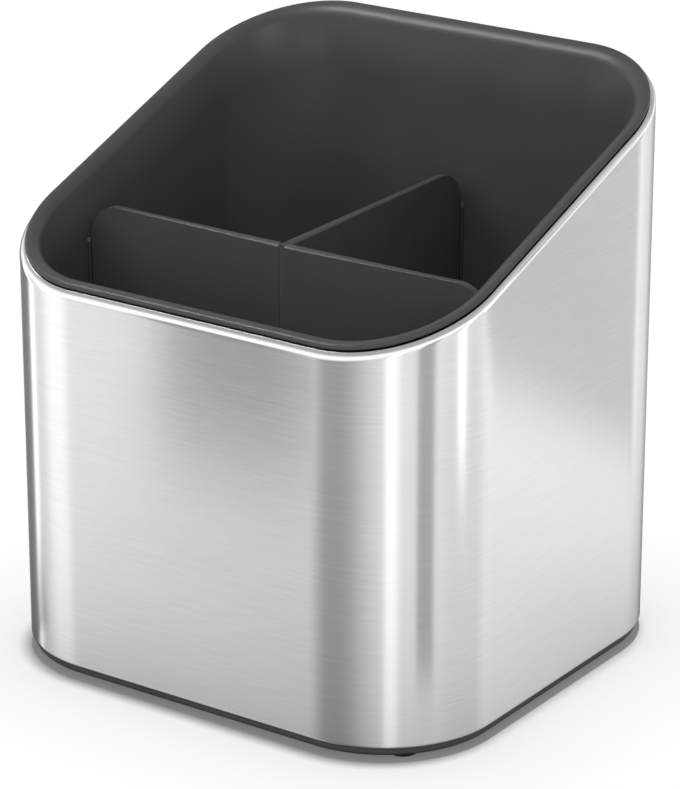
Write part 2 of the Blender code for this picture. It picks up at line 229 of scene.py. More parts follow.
def sweepShell(name, section, material, closed):
    mesh = bpy.data.meshes.new(name)
    last = len(section) - 1
    edges = [(i, i + 1) for i in range(last)]
    if closed:
        edges.append((last, 0))
    # the sweep turns a section over, so both of its axes are negated here
    mesh.from_pydata([(-inset, -height, 0.0) for inset, height, _ in section], edges, [])
    share = mesh.attributes.new("rimShare", "FLOAT", "POINT")
    share.data.foreach_set("value", [point[2] for point in section])
    piece = newObject(name, mesh)
    addTree(piece, sectionSweep, {
        "Width": bodyPlan["width"],
        "Depth": bodyPlan["depth"],
        "Corner Radius": bodyPlan["cornerRadius"],
        "Front Rim": bodyPlan["frontRim"],
        "Back Rim": bodyPlan["backRim"],
        "Point Spacing": bodyPlan["pointSpacing"],
        "Corner Count": bodyPlan["cornerCount"],
        "Material": material,
    })
    bakeModifiers(piece)
    bm = bmesh.new()
    bm.from_mesh(piece.data)
    if not closed:
        bmesh.ops.holes_fill(bm, edges=[e for e in bm.edges if e.is_boundary], sides=0)
    bmesh.ops.recalc_face_normals(bm, faces=bm.faces)
    bm.to_mesh(piece.data)
    bm.free()
    return smoothFaces(piece)


def repeatShape(name, shape, places, material):
    mesh = bpy.data.meshes.new(name)
    mesh.from_pydata([place for place, _ in places], [], [])
    turn = mesh.attributes.new("turn", "FLOAT", "POINT")
    turn.data.foreach_set("value", [angle for _, angle in places])
    piece = newObject(name, mesh)
    addTree(piece, repeatOnPoints, {"Shape": shape, "Material": material})
    bakeModifiers(piece)
    bpy.data.objects.remove(shape)
    return smoothFaces(piece)


# a flat outline of points, pushed out along a vector, with its long edges rounded
def slab(name, outline, across, edgeRadius, edgeSteps, squareEdges=()):
    bm = bmesh.new()
    front = [bm.verts.new(point) for point in outline]
    back = [bm.verts.new(Vector(point) + across) for point in outline]
    bm.faces.new(front)
    bm.faces.new(list(reversed(back)))
    count = len(outline)
    for i in range(count):
        j = (i + 1) % count
        bm.faces.new((front[i], back[i], back[j], front[j]))
    square = {frozenset((i, (i + 1) % count)) for i in squareEdges}
    rims = []
    for ring in (front, back):
        for i in range(count):
            j = (i + 1) % count
            if frozenset((i, j)) not in square:
                rims.append(bm.edges.get((ring[i], ring[j])))
    # a profile of 0.5 is round
    bmesh.ops.bevel(bm, geom=rims, offset=edgeRadius, segments=edgeSteps, affect="EDGES", profile=0.5)
    bmesh.ops.remove_doubles(bm, verts=bm.verts, dist=weldGap)
    bmesh.ops.recalc_face_normals(bm, faces=bm.faces)
    return newPiece(name, bm)


def combine(piece, tool, operation):
    modifier = piece.modifiers.new(operation.lower(), "BOOLEAN")
    modifier.operation = operation
    modifier.solver = "EXACT"
    modifier.object = tool
    bakeModifiers(piece)
    bpy.data.objects.remove(tool)


# materials: small node helpers
class Shade:
    def __init__(self, name):
        self.material = bpy.data.materials.new(name)
        self.material.use_nodes = True
        self.tree = self.material.node_tree
        self.shader = self.tree.nodes["Principled BSDF"]
        self.coordinates = self.tree.nodes.new("ShaderNodeTexCoord").outputs["Object"]

    def put(self, socket, value):
        if isinstance(value, bpy.types.NodeSocket):
            self.tree.links.new(value, socket)
        else:
            socket.default_value = value

    def math(self, operation, first, second=0.0):
        node = self.tree.nodes.new("ShaderNodeMath")
        node.operation = operation
        self.put(node.inputs[0], first)
        self.put(node.inputs[1], second)
        return node.outputs["Value"]

    def axes(self, source=None):
        node = self.tree.nodes.new("ShaderNodeSeparateXYZ")
        self.tree.links.new(self.coordinates if source is None else source, node.inputs["Vector"])
        return node.outputs

    def noise(self, scale, detail=2.0, roughness=0.5):
        mapping = self.tree.nodes.new("ShaderNodeMapping")
        mapping.inputs["Scale"].default_value = scale
        self.tree.links.new(self.coordinates, mapping.inputs["Vector"])
        node = self.tree.nodes.new("ShaderNodeTexNoise")
        node.inputs["Scale"].default_value = 1.0
        node.inputs["Detail"].default_value = detail
        node.inputs["Roughness"].default_value = roughness
        self.tree.links.new(mapping.outputs["Vector"], node.inputs["Vector"])
        return node.outputs["Fac"]

    def spread(self, value, low, high, fromLow=0.0, fromHigh=1.0, smooth=False):
        node = self.tree.nodes.new("ShaderNodeMapRange")
        node.interpolation_type = "SMOOTHSTEP" if smooth else "LINEAR"
        self.put(node.inputs["Value"], value)
        self.put(node.inputs["From Min"], fromLow)
        self.put(node.inputs["From Max"], fromHigh)
        self.put(node.inputs["To Min"], low)
        self.put(node.inputs["To Max"], high)
        return node.outputs["Result"]

    def tint(self, factor, dark, light):
        node = self.tree.nodes.new("ShaderNodeMix")
        node.data_type = "RGBA"
        self.put(node.inputs["Factor"], factor)
        # sockets 6 and 7 of a mix node are its colours, and output 2 is the mixed one
        for socket, colour in ((node.inputs[6], dark), (node.inputs[7], light)):
            self.put(socket, colour if isinstance(colour, bpy.types.NodeSocket) else (*colour, 1.0))
        return node.outputs[2]

    # 1 under the body, falling off with the distance from its outline on the floor
    def nearBody(self, reach):
        axes = self.axes()
        corner = bodyPlan["cornerRadius"]
        sides = []
        for axis, half in (("X", halfWidth), ("Y", halfDepth)):
            beyond = self.math("SUBTRACT", self.math("ABSOLUTE", axes[axis]), half - corner)
            sides.append(self.math("POWER", self.math("MAXIMUM", beyond, 0.0), 2.0))
        distance = self.math("SUBTRACT", self.math("SQRT", self.math("ADD", *sides)), corner)
        outside = self.math("MAXIMUM", distance, 0.0)
        return self.math("EXPONENT", self.math("DIVIDE", outside, -reach))

    def bump(self, height, distance, strength=1.0):
        node = self.tree.nodes.new("ShaderNodeBump")
        node.inputs["Distance"].default_value = distance
        self.put(node.inputs["Strength"], strength)
        self.tree.links.new(height, node.inputs["Height"])
        self.tree.links.new(node.outputs["Normal"], self.shader.inputs["Normal"])


brushing = {
    "darkTint": (0.670, 0.670, 0.685),
    "lightTint": (0.730, 0.730, 0.746),
    "tintSpan": 0.25,                      # how far from its middle the noise gives a full tint
    "roughness": (0.19, 0.215),
    "roughnessSpan": (0.35, 0.65),         # the noise levels that give the two values above
    "polishedRoughness": 0.07,
    "polishStarts": -0.0022,               # below the rim plane
    "polishFull": -0.0014,
    "anisotropy": 0.75,
    "brushTurn": 0.25,                     # a quarter turn from the tangent round Z
    "streaks": (70.0, 70.0, 2200.0),       # per metre: long across, fine in height
    "streakShare": 0.65,
    "hairlines": (180.0, 180.0, 3800.0),
    "hairlineShare": 0.35,
    "clouds": (22.0, 22.0, 60.0),
    "cloudShare": 0.30,
    "streakDepth": 0.0000022,
}


def brushedSteel():
    shade = Shade("brushedSteel")
    look = brushing
    streaks = shade.noise(look["streaks"], detail=3.0, roughness=0.6)
    hairlines = shade.noise(look["hairlines"], detail=1.0)
    clouds = shade.noise(look["clouds"])
    coarse = shade.math("MULTIPLY", streaks, look["streakShare"])
    fine = shade.math("MULTIPLY", hairlines, look["hairlineShare"])
    lines = shade.math("ADD", coarse, fine)
    axes = shade.axes()
    rim = shade.math("ADD", shade.math("MULTIPLY", axes["Y"], rimSlope), rimAt(0))
    above = shade.math("SUBTRACT", axes["Z"], rim)
    polish = shade.spread(above, 0.0, 1.0, look["polishStarts"], look["polishFull"], smooth=True)
    tone = shade.math("ADD", lines, shade.math("MULTIPLY", clouds, look["cloudShare"]))
    middle = 0.5 + 0.5 * look["cloudShare"]
    span = look["tintSpan"]
    colourMix = shade.spread(tone, 0.0, 1.0, middle - span, middle + span)
    colour = shade.tint(colourMix, look["darkTint"], look["lightTint"])
    shade.put(shade.shader.inputs["Base Color"], colour)
    rough = shade.spread(lines, *look["roughness"], *look["roughnessSpan"])
    shade.put(shade.shader.inputs["Roughness"], shade.spread(polish, rough, look["polishedRoughness"]))
    shade.shader.inputs["Metallic"].default_value = 1.0
    shade.shader.inputs["Anisotropic"].default_value = look["anisotropy"]
    shade.shader.inputs["Anisotropic Rotation"].default_value = look["brushTurn"]
    tangent = shade.tree.nodes.new("ShaderNodeTangent")
    tangent.direction_type = "RADIAL"
    tangent.axis = "Z"
    shade.tree.links.new(tangent.outputs["Tangent"], shade.shader.inputs["Tangent"])
    shade.bump(lines, look["streakDepth"], shade.math("SUBTRACT", 1.0, polish))
    return shade.material


# what every plastic has, unless its own row says otherwise
moulding = {
    "grain": 3200.0,                       # per metre
    "grainDepth": 0.000004,
    "clouds": 35.0,                        # per metre
    "cloudTint": 0.08,                     # how much lighter or darker they are
    "noiseSpan": (0.3, 0.7),               # the noise levels that give the full change
    "roughnessSwing": 0.04,
    "refraction": 1.48,
    "specularLevel": 0.12,
    "tip": None,
}
plastics = {
    "liner": {"colour": (0.056, 0.056, 0.059), "roughness": 0.34},
    # the ribs' colour is darker than the liner's: painted shade, as if they stood in shadow between the
    # wall and the panels
    "rib": {
        "colour": (0.036, 0.036, 0.038),
        "roughness": 0.45,
        # a painted highlight: the rib's top is coloured lighter, as if it caught the light
        "tip": {"heights": (0.1052, 0.1058), "colour": (0.100, 0.100, 0.104)},
    },
    "crossPanel": {"colour": (0.057, 0.057, 0.060), "roughness": 0.42},
    # painted light: its colour is lighter than the cross panel's, which brightens its side face where
    # it stands in shade
    "rearPanel": {"colour": (0.061, 0.061, 0.064), "roughness": 0.42, "grain": 3000.0},
    "base": {
        "colour": (0.060, 0.060, 0.063),
        "roughness": 0.46,
        "grain": 2600.0,
        "grainDepth": 0.000006,
    },
    "foot": {
        "colour": (0.018, 0.018, 0.018),
        "roughness": 0.75,
        "grain": 2200.0,
        "grainDepth": 0.000010,
    },
}


def satinPlastic(name, own):
    look = {**moulding, **own}
    shade = Shade(name)
    grain = shade.noise((look["grain"],) * 3)
    clouds = shade.noise((look["clouds"],) * 3)
    dark = tuple((1 - look["cloudTint"]) * channel for channel in look["colour"])
    light = tuple((1 + look["cloudTint"]) * channel for channel in look["colour"])
    tone = shade.tint(shade.spread(clouds, 0.0, 1.0, *look["noiseSpan"]), dark, light)
    tip = look["tip"]
    # a painted highlight: above the given heights the colour turns lighter
    if tip:
        paintedHighlightShare = shade.spread(shade.axes()["Z"], 0.0, 1.0, *tip["heights"])
        tone = shade.tint(paintedHighlightShare, tone, tip["colour"])
    shade.put(shade.shader.inputs["Base Color"], tone)
    low = look["roughness"] - look["roughnessSwing"]
    high = look["roughness"] + look["roughnessSwing"]
    shade.put(shade.shader.inputs["Roughness"], shade.spread(grain, low, high, *look["noiseSpan"]))
    shade.shader.inputs["IOR"].default_value = look["refraction"]
    shade.shader.inputs["Specular IOR Level"].default_value = look["specularLevel"]
    shade.bump(grain, look["grainDepth"])
    return shade.material


steelFinish = brushedSteel()
linerFinish = satinPlastic("linerPlastic", plastics["liner"])
ribPaintedShadeFinish = satinPlastic("ribPlastic", plastics["rib"])
crossFinish = satinPlastic("crossPanelPlastic", plastics["crossPanel"])
rearPlasticWithPaintedLight = satinPlastic("rearPanelPlastic", plastics["rearPanel"])
baseFinish = satinPlastic("basePlastic", plastics["base"])
footFinish = satinPlastic("footRubber", plastics["foot"])
print("materials built")

# the steel sleeve: straight wall, rolled rim, turned-in hem
sleeve = {
    "foot": sleeveLow.z,
    "sheet": 0.0008,
    "rollRadius": 0.0017,
    "rollEnd": 45.0,             # degrees, where the roll stops under the liner's lip
    "rollDrop": 0.00018,         # opens the dark line that shows under the lip
    "hemWidth": 0.0046,
    "hemBend": 0.0012,
    "support": 0.0004,           # extra rings here keep the flat wall's shading flat
    "rollSteps": 28,
    "bendSteps": 10,
}


def buildSleeve():
    rollCentre = (sleeve["rollRadius"], -sleeve["rollRadius"] - sleeve["rollDrop"])
    bendCentre = (sleeve["hemBend"], sleeve["foot"] + sleeve["hemBend"])
    rollInner = sleeve["rollRadius"] - sleeve["sheet"]
    bendInner = sleeve["hemBend"] - sleeve["sheet"]
    wallTop = rollCentre[1] - sleeve["support"]
    wallFoot = sleeve["foot"] + sleeve["hemBend"] + sleeve["support"]
    rollEnd, rollSteps = sleeve["rollEnd"], sleeve["rollSteps"]
    section = [(0.0, wallTop, 1.0)]
    section += arcPoints(rollCentre, sleeve["rollRadius"], 180, rollEnd, rollSteps, 1.0)
    section += arcPoints(rollCentre, rollInner, rollEnd, 180, rollSteps, 1.0)
    section += [(sleeve["sheet"], wallTop, 1.0), (sleeve["sheet"], wallFoot, 0.0)]
    section += arcPoints(bendCentre, bendInner, 180, 270, sleeve["bendSteps"])
    section += [(sleeve["hemWidth"], sleeve["foot"] + sleeve["sheet"], 0.0)]
    section += [(sleeve["hemWidth"], sleeve["foot"], 0.0)]
    section += arcPoints(bendCentre, sleeve["hemBend"], 270, 180, sleeve["bendSteps"])
    section += [(0.0, wallFoot, 0.0)]
    piece = sweepShell("steelSleeve", section, steelFinish, True)
    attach(piece, "housing")
    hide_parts("outer_sleeve")


# the moulded base: band, plate, upstand, snap hooks and the seats of the rubber feet
base = {
    "footDrop": baseLow.z,
    "bandInset": 0.0010,
    "bandEdge": 0.0013,
    "bandGap": 0.00005,          # below the sleeve; the part's own running gap is wider
    "bandTopEdge": 0.0002,
    "bandTopSteps": 4,
    "plate": 0.0026,
    "upstandInset": 0.0050,
    "upstandWall": 0.0016,
    "upstandTop": baseHigh.z,
    "fillet": 0.0008,
    "bendSteps": 8,
    "hookWidth": 0.0100,
    "hookReach": 0.0020,
    "hookNose": 0.0008,
    "hookLength": 0.0040,
    "hookSink": 0.0006,
    "hookEdge": 0.0002,
    "hookEdgeSteps": 2,
    "hookPlaceShare": 0.55,
}
foot = {
    "radius": 0.0040,
    "edge": 0.0005,
    "edgeSteps": 6,
    "ringShare": 0.5,            # of the sole's radius, where an extra ring lies
    "sides": 48,
    "names": ["foot_front_left", "foot_front_right", "foot_back_left", "foot_back_right"],
}


def lathe(name, profile, sides):
    bm = bmesh.new()
    verts = [bm.verts.new((radius, 0.0, height)) for radius, height in profile]
    edges = [bm.edges.new(pair) for pair in zip(verts, verts[1:])]
    bmesh.ops.spin(bm, geom=verts + edges, cent=(0, 0, 0), axis=(0, 0, 1), angle=math.tau,
                   steps=sides, use_merge=True)
    bmesh.ops.remove_doubles(bm, verts=bm.verts, dist=weldGap)
    bmesh.ops.recalc_face_normals(bm, faces=bm.faces)
    return newPiece(name, bm)


def footCentres():
    boxes = [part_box(name) for name in foot["names"]]
    return [((low.x + high.x) / 2, (low.y + high.y) / 2, 0.0) for low, high in boxes]


def footTop():
    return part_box(foot["names"][0])[1].z


def buildBase():
    bandTop = sleeveLow.z - base["bandGap"]
    edgeCentre = (base["bandInset"] + base["bandEdge"], base["footDrop"] + base["bandEdge"])
    plateTop = base["footDrop"] + base["plate"]
    upstandInner = base["upstandInset"] + base["upstandWall"]
    topCentre = (base["bandInset"] + base["bandTopEdge"], bandTop - base["bandTopEdge"])
    tipRadius = base["upstandWall"] / 2
    tipCentre = (base["upstandInset"] + tipRadius, base["upstandTop"] - tipRadius)
    filletCentre = (upstandInner + base["fillet"], plateTop + base["fillet"])
    section = arcPoints(edgeCentre, base["bandEdge"], 270, 180, base["bendSteps"])
    section += arcPoints(topCentre, base["bandTopEdge"], 180, 90, base["bandTopSteps"])
    section += [(base["upstandInset"], bandTop, 0.0)]
    section += arcPoints(tipCentre, tipRadius, 180, 0, base["bendSteps"])
    section += arcPoints(filletCentre, base["fillet"], 180, 270, base["bendSteps"])
    piece = sweepShell("baseTray", section, baseFinish, False)
    seatRadius = foot["radius"] + seatGap
    seatTop = footTop() + seatGap
    for centre in footCentres():
        profile = [(0.0, 0.0), (seatRadius, 0.0), (seatRadius, seatTop), (0.0, seatTop)]
        seat = lathe("footSeat", profile, foot["sides"])
        seat.data.transform(Matrix.Translation(centre))
        combine(piece, seat, "DIFFERENCE")
    smoothFaces(piece)
    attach(piece, "housing")
    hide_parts("base_tray")


def buildHooks():
    hookFoot = sleeveLow.z + sleeve["sheet"] + seatGap
    half = base["hookWidth"] / 2
    outline = [
        (half, base["hookSink"], 0.0),
        (half, -base["hookReach"], 0.0),
        (half, -base["hookReach"], base["hookNose"]),
        (half, base["hookSink"], base["hookLength"]),
    ]
    across = Vector((-base["hookWidth"], 0, 0))
    hook = slab("hookShape", outline, across, base["hookEdge"], base["hookEdgeSteps"])
    places = []
    for side in range(4):
        reach = halfDepth if side % 2 == 0 else halfWidth
        halfRun = (halfWidth if side % 2 == 0 else halfDepth) - bodyPlan["cornerRadius"]
        along = halfRun * base["hookPlaceShare"]
        turn = Matrix.Rotation(side * math.pi / 2, 3, "Z")
        for x in (-along, along):
            spot = Vector((x, base["upstandInset"] - reach, hookFoot))
            places.append((turn @ spot, side * math.pi / 2))
    hooks = repeatShape("snapHooks", hook, places, baseFinish)
    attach(hooks, "housing")


def buildFeet():
    edge = foot["edge"]
    corner = foot["radius"] - edge
    lower = arcPoints((corner, edge), edge, 270, 360, foot["edgeSteps"])
    upper = arcPoints((corner, footTop() - edge), edge, 0, 90, foot["edgeSteps"])
    profile = [(0.0, 0.0), (corner * foot["ringShare"], 0.0)]
    profile += [(radius, height) for radius, height, _ in lower + upper]
    profile += [(0.0, footTop())]
    pad = lathe("footShape", profile, foot["sides"])
    feet = repeatShape("rubberFeet", pad, [(centre, 0.0) for centre in footCentres()], footFinish)
    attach(feet, "housing")
    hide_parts(*foot["names"])


# the liner: lip over the rim, tapered wall, rounded floor edge
liner = {
    "foot": linerLow.z,
    "wall": 0.0022,
    "floor": 0.0024,
    "footInset": 0.0072,
    "footRadius": 0.0060,
    "lipInset": 0.0015,
    "lipHeight": 0.00135,
    "lipEdge": 0.0007,
    "crownRadius": 0.0039,
    "flareRadius": 0.0028,
    "flareTurns": (45.0, 17.0),  # where the crown ends and where the sweep starts
    "sweepRadius": 0.0445,
    "seatWidth": 0.0018,
    "support": 0.0012,
    "fineSteps": 12,
    "sweepSteps": 14,
}
floorTop = liner["foot"] + liner["floor"]
floorRadius = liner["footRadius"] - liner["wall"]
wallFootInner = liner["footInset"] + liner["wall"]
crownInset = liner["lipInset"] + liner["lipEdge"]
crownDrop = liner["lipHeight"] - liner["crownRadius"]
crownTurn, sweepTurn = (math.radians(turn) for turn in liner["flareTurns"])
flareGrowth = liner["flareRadius"] - liner["crownRadius"]
flareInset = crownInset - flareGrowth * math.cos(crownTurn)
flareDrop = crownDrop - flareGrowth * math.sin(crownTurn)
sweepGrowth = liner["sweepRadius"] - liner["flareRadius"]
sweepInset = flareInset - sweepGrowth * math.cos(sweepTurn)
sweepDrop = flareDrop - sweepGrowth * math.sin(sweepTurn)
wallTopInner = sweepInset + liner["sweepRadius"]
crossY = (crossLow.y + crossHigh.y) / 2


def wallInset(y, height):
    top = rimAt(y) + sweepDrop
    bottom = floorTop + floorRadius
    return wallTopInner + (wallFootInner - wallTopInner) * (top - height) / (top - bottom)


def buildLiner():
    fineSteps, sweepSteps = liner["fineSteps"], liner["sweepSteps"]
    footCentre = (liner["footInset"] + liner["footRadius"], liner["foot"] + liner["footRadius"])
    floorCentre = (wallFootInner + floorRadius, floorTop + floorRadius)
    sweepCentre = (sweepInset, sweepDrop)
    sweepOuter = liner["sweepRadius"] - liner["wall"]
    crownEnd, sweepStart = liner["flareTurns"]
    crownCentre = (crownInset, crownDrop)
    flareCentre = (flareInset, flareDrop)
    edgeCentre = (crownInset, liner["lipHeight"] - liner["lipEdge"])
    section = arcPoints(footCentre, liner["footRadius"], 270, 180, fineSteps)
    section += arcPoints(sweepCentre, sweepOuter, 0, sweepStart, sweepSteps, 1.0)
    section += [(liner["lipInset"] + liner["seatWidth"], seatGap, 1.0)]
    section += [(liner["lipInset"], seatGap, 1.0)]
    section += arcPoints(edgeCentre, liner["lipEdge"], 180, 90, fineSteps, 1.0)
    section += arcPoints(crownCentre, liner["crownRadius"], 90, crownEnd, fineSteps, 1.0)[1:]
    section += arcPoints(flareCentre, liner["flareRadius"], crownEnd, sweepStart, fineSteps, 1.0)[1:]
    section += arcPoints(sweepCentre, liner["sweepRadius"], sweepStart, 0, sweepSteps, 1.0)[1:]
    section += [(wallTopInner, sweepDrop - liner["support"], 1.0)]
    section += [(wallFootInner, floorTop + floorRadius + liner["support"], 0.0)]
    section += arcPoints(floorCentre, floorRadius, 180, 270, fineSteps)
    section += [(floorCentre[0] + liner["support"], floorTop, 0.0)]
    piece = sweepShell("linerShell", section, linerFinish, False)
    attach(piece, "liner")
    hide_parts("inner_liner")


# the guide ribs: pairs of thin ledges on the walls that the panels' ends slide between
ribs = {
    "top": 0.1065,
    "width": 0.0008,
    "reach": 0.0008,
    "sink": 0.0004,
    "edge": 0.0003,
    "edgeSteps": 3,
}


# one rib, cut to the slope of its wall, with its foot at height 0
def ribShape(depth, halfSize):
    height = ribs["top"] - floorTop
    low = halfSize - wallInset(depth, floorTop)
    high = halfSize - wallInset(depth, ribs["top"])
    outline = [
        (low + ribs["sink"], 0.0, 0.0),
        (high + ribs["sink"], 0.0, height),
        (high - ribs["reach"], 0.0, height),
        (low - ribs["reach"], 0.0, 0.0),
    ]
    shape = slab("ribShape", outline, Vector((0, ribs["width"], 0)), ribs["edge"], ribs["edgeSteps"])
    shape.data.transform(Matrix.Translation((0, -ribs["width"] / 2, 0)))
    return shape


def buildRibs():
    spread = (panels["thickness"] + ribs["width"]) / 2 + seatGap
    depths = {"side": (crossY, halfWidth), "back": (halfDepth - wallTopInner, halfDepth)}
    for name, (depth, halfSize) in depths.items():
        places = []
        for sign in (-1, 1):
            if name == "side":
                places.append(((0, crossY + sign * spread, floorTop), 0.0))
                places.append(((0, crossY + sign * spread, floorTop), math.pi))
            else:
                places.append(((sign * spread, 0, floorTop), math.pi / 2))
        shape = ribShape(depth, halfSize)
        piece = repeatShape("guideRibs" + name.capitalize(), shape, places, ribPaintedShadeFinish)
        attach(piece, "liner")


# the two panels: one from side to side with a slot, one behind it with a tongue in the slot
panels = {
    "thickness": crossHigh.y - crossLow.y,
    "top": crossHigh.z,
    "foot": crossLow.z,
    "endGap": 0.0004,
    "cornerRadius": 0.0090,
    "footRadius": 0.0050,
    "edgeRadius": 0.0009,
    "edgeSteps": 5,
    "cornerSteps": 20,
    "tongue": 0.0016,
    "tongueGap": 0.00003,        # at each side; the part's own running gap is wider
    "tongueDrop": 0.0002,
    "tongueRecess": 0.00008,
    "tongueEdge": 0.00008,
    "tongueEdgeSteps": 2,
    "slotFloorRise": 0.0200,
}
slotFloor = floorTop + panels["slotFloorRise"]
shoulder = crossHigh.y + seatGap           # where the rear panel starts behind the cross panel


# one end of a panel, foot to top, as (distance from the middle, height)
def endOutline(depth, halfSize):
    steps = panels["cornerSteps"]
    footRadius, topRadius = panels["footRadius"], panels["cornerRadius"]
    footHeight = panels["foot"] + footRadius
    topHeight = panels["top"] - topRadius
    footEnd = halfSize - wallInset(depth, footHeight) - panels["endGap"]
    topEnd = halfSize - wallInset(depth, topHeight) - panels["endGap"]
    points = arcPoints((footEnd - footRadius, footHeight), footRadius, 270, 360, steps)
    points += arcPoints((topEnd - topRadius, topHeight), topRadius, 0, 90, steps)
    return [(out, height) for out, height, _ in points]


def buildCrossPanel():
    slotHalf = panels["tongue"] / 2 + panels["tongueGap"]
    top = panels["top"]
    right = endOutline(crossY, halfWidth)
    left = [(-x, z) for x, z in reversed(right)]
    slot = [(slotHalf, top), (slotHalf, slotFloor), (-slotHalf, slotFloor), (-slotHalf, top)]
    outline = [(x, crossLow.y, z) for x, z in right + slot + left]
    first = len(right)
    square = range(first, first + len(slot) - 1)     # the slot's own edges stay square
    across = Vector((0, panels["thickness"], 0))
    cross = slab("crossPanel", outline, across, panels["edgeRadius"], panels["edgeSteps"], square)
    cross.data.materials.append(crossFinish)
    smoothFaces(cross)
    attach(cross, "cross_panel")
    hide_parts("cross_divider")


def tongueShape():
    top = panels["top"] - panels["tongueDrop"]
    bottom = slotFloor + seatGap
    front = crossLow.y + panels["tongueRecess"]
    back = shoulder + panels["thickness"]
    corners = [(front, bottom), (back, bottom), (back, top), (front, top)]
    outline = [(-panels["tongue"] / 2, y, z) for y, z in corners]
    across = Vector((panels["tongue"], 0, 0))
    return slab("tongue", outline, across, panels["tongueEdge"], panels["tongueEdgeSteps"])


def buildRearPanel():
    thickness = panels["thickness"]
    back = endOutline(halfDepth - wallTopInner, halfDepth)
    corners = back + [(shoulder, rearHigh.z), (shoulder, rearLow.z)]
    outline = [(-thickness / 2, y, z) for y, z in corners]
    across = Vector((thickness, 0, 0))
    rear = slab("rearPanel", outline, across, panels["edgeRadius"], panels["edgeSteps"])
    combine(rear, tongueShape(), "UNION")
    rear.data.materials.clear()
    rear.data.materials.append(rearPlasticWithPaintedLight)
    smoothFaces(rear)
    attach(rear, "rear_panel")
    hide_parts("rear_divider")


buildSleeve()
print("sleeve built")
buildBase()
buildHooks()
buildFeet()
print("base and feet built")
buildLiner()
buildRibs()
print("liner built")
buildCrossPanel()
buildRearPanel()
print("panels built")

# the studio: what the steel mirrors, by direction; azimuth 0 is +X and 90 is +Y, in degrees
studio = {
    "plainLevel": 1.00,
    "horizonLevel": 1.42,
    "horizonRises": (-8.0, 18.0),     # elevations, none to full
    "darkBack": 122.0,                # round this azimuth no horizon shows
    "darkBackSpans": (20.0, 46.0),    # to each side of it, none to full
    "ceilingLevel": 0.55,
    "ceilingStarts": (24.0, 46.0),    # elevations, none to full
    "ceilingLow": 100.0,              # the azimuth where the ceiling comes down furthest
    "ceilingLean": 14.0,              # and by how much
    "fillLevel": 1.01,                # what matt surfaces get from all round
    "backdropLevel": 1.00,            # what the camera sees
}
# upright boards between two azimuths, with soft sides
boards = [
    {"from": 48.0, "to": 65.0, "fadeIn": 15.0, "fadeOut": 20.0, "level": 1.26},
    {"from": 107.0, "to": 126.0, "fadeIn": 22.0, "fadeOut": 7.0, "level": 0.42},
    {"from": 127.0, "to": 171.0, "fadeIn": 8.0, "fadeOut": 8.0, "level": 0.25},
    {"from": 134.0, "to": 138.0, "fadeIn": 5.0, "fadeOut": 5.0, "level": 1.25},
    {"from": 175.5, "to": 179.5, "fadeIn": 4.5, "fadeOut": 3.5, "level": 2.10},
    {"from": -149.0, "to": -139.0, "fadeIn": 23.0, "fadeOut": 15.0, "level": 1.47},
    {"from": -108.0, "to": -98.0, "fadeIn": 24.0, "fadeOut": 42.0, "level": 0.45},
    {"from": -53.0, "to": -49.0, "fadeIn": 5.5, "fadeOut": 11.0, "level": 1.60},
    {"from": -38.0, "to": -8.0, "fadeIn": 7.0, "fadeOut": 14.0, "level": 1.10},
]


